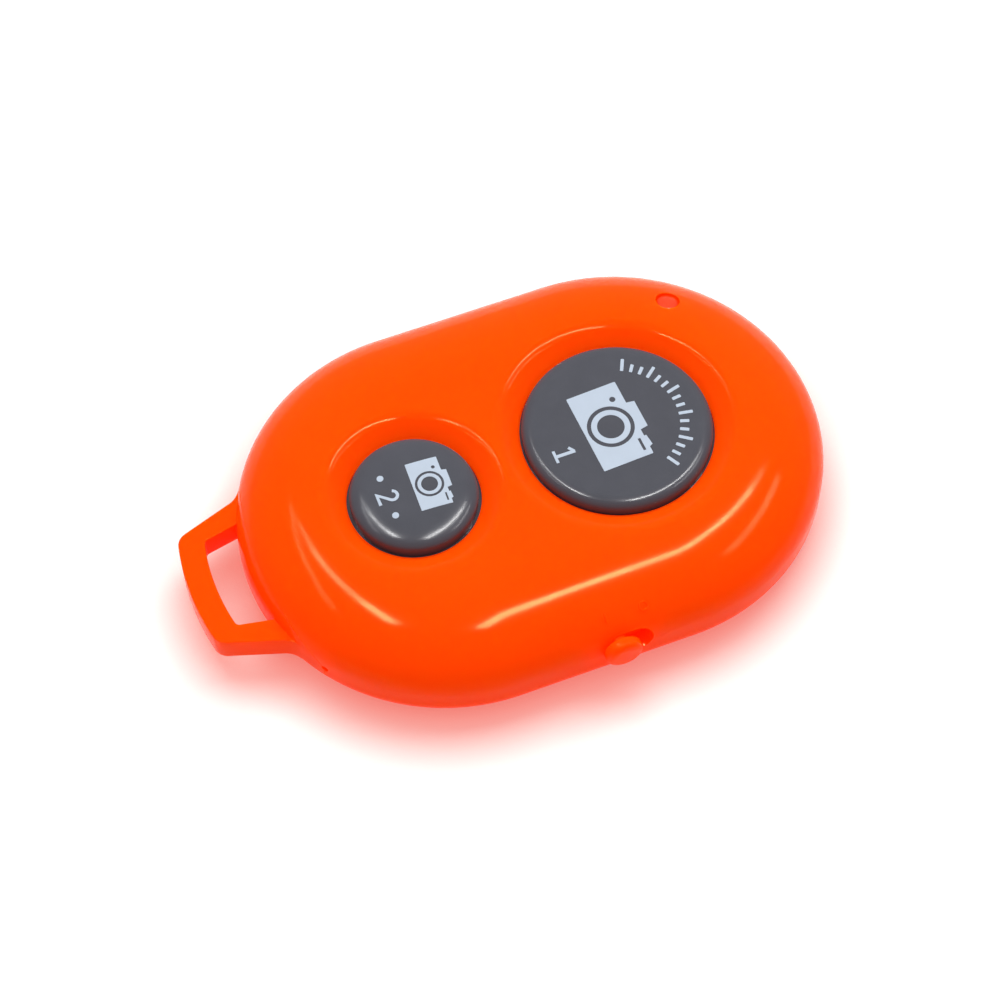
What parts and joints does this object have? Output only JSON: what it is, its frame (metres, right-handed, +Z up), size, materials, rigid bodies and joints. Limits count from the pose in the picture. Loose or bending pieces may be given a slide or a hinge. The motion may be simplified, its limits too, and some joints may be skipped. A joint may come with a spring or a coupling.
{
  "type": "bluetooth camera shutter remote",
  "caption": "Oval pocket camera remote with round press buttons on top, a side power slider, an indicator hole and a lanyard loop.",
  "frame": {"origin": "centre of the oval outline of the body, on the flat underside that it rests on", "axes": "+X along the remote away from the lanyard loop, +Y across it away from the power slider, +Z up through the buttons"},
  "size_m": [0.0505, 0.033, 0.0089],
  "materials": {
    "housing": "glossy moulded orange",
    "button": "satin grey",
    "slider_knob": "glossy moulded orange",
    "board": "green solder mask",
    "steel": "plated sheet steel",
    "cell_steel": "brushed nickel plate",
    "spring_steel": "plated spring strip",
    "black_plastic": "moulded black",
    "plunger": "moulded grey",
    "light_pipe": "clear pink",
    "lamp": "cast resin",
    "capacitor": "fired ceramic"
  },
  "bodies": {
    "rear_housing": {"rear_shell": "housing"},
    "front_housing": {"front_shell": "housing", "circuit_board": "board", "board_screws": "steel", "large_switch_base": "black_plastic", "large_switch_cover": "steel", "large_switch_dome": "steel", "small_switch_base": "black_plastic", "small_switch_cover": "steel", "small_switch_dome": "steel", "slide_switch_case": "steel", "slide_switch_base": "black_plastic", "slide_switch_terminals": "steel", "indicator_lamp": "lamp", "indicator_light_pipe": "light_pipe", "radio_chip": "black_plastic", "radio_chip_leads": "steel", "crystal_can": "steel", "chip_capacitors": "capacitor", "chip_resistors": "black_plastic", "battery_can": "cell_steel", "battery_cap": "cell_steel", "battery_gasket": "black_plastic", "battery_strap": "spring_steel", "battery_negative_contact": "spring_steel"},
    "large_button": {"large_button_cap": "button", "large_switch_plunger": "plunger"},
    "small_button": {"small_button_cap": "button", "small_switch_plunger": "plunger"},
    "power_slider": {"power_slider_knob": "slider_knob", "slide_switch_lever": "black_plastic"}
  },
  "joints": [
    {"name": "front_housing_lift", "type": "slide", "parent": "rear_housing", "child": "front_housing", "axis": [0, 0, 1], "range_m": [0, 0.018]},
    {"name": "large_button_press", "type": "slide", "parent": "front_housing", "child": "large_button", "axis": [0, 0, -1], "range_m": [0, 0.0002], "stiffness_N_per_m": 500, "deforming": ["large_switch_dome"]},
    {"name": "small_button_press", "type": "slide", "parent": "front_housing", "child": "small_button", "axis": [0, 0, -1], "range_m": [0, 0.0002], "stiffness_N_per_m": 500, "deforming": ["small_switch_dome"]},
    {"name": "power_slide", "type": "slide", "parent": "front_housing", "child": "power_slider", "axis": [1, 0, 0], "range_m": [0, 0.0015]}
  ]
}
